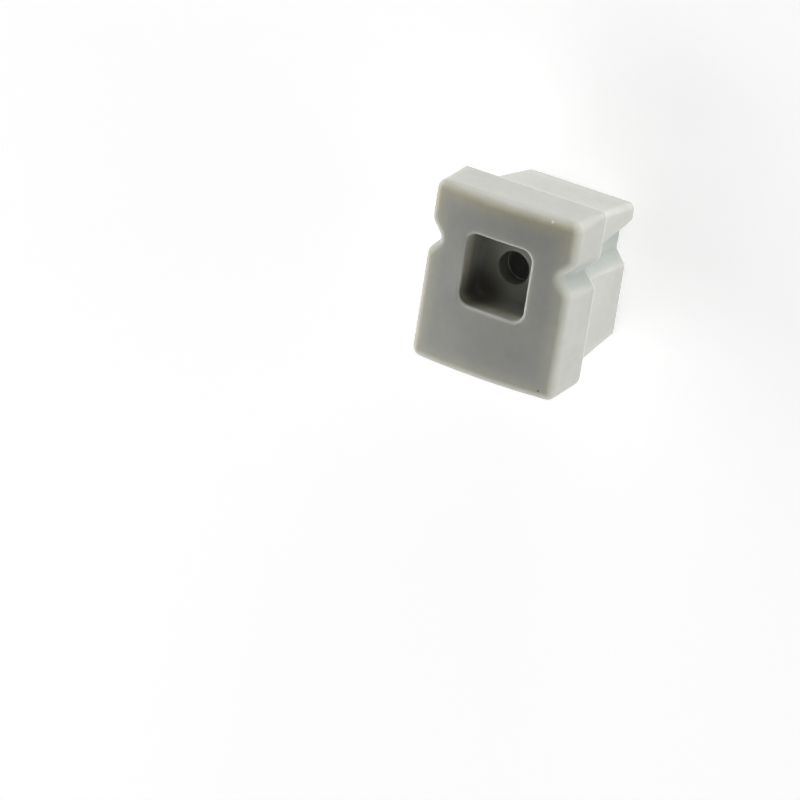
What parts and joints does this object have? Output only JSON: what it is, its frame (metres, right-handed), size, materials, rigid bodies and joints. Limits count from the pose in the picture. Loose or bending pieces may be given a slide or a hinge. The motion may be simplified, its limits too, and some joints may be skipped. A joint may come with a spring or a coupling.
{
  "type": "profile end cap",
  "caption": "One-piece moulded end cap for an extruded profile: a crowned flange with side notches, a tapered hollow plug, and a square pocket with a round cable hole.",
  "frame": {"origin": "on the surface that the plug's end stands on, under the middle of the flange", "axes": "+Z out of the outer face, along the cable hole; +Y along the cap's height, towards its notched half; +X across its width"},
  "size_m": [0.016, 0.0186, 0.0165],
  "materials": {
    "cap_plastic": "matte"
  },
  "bodies": {
    "root": {"end_cap": "cap_plastic"}
  },
  "joints": []
}
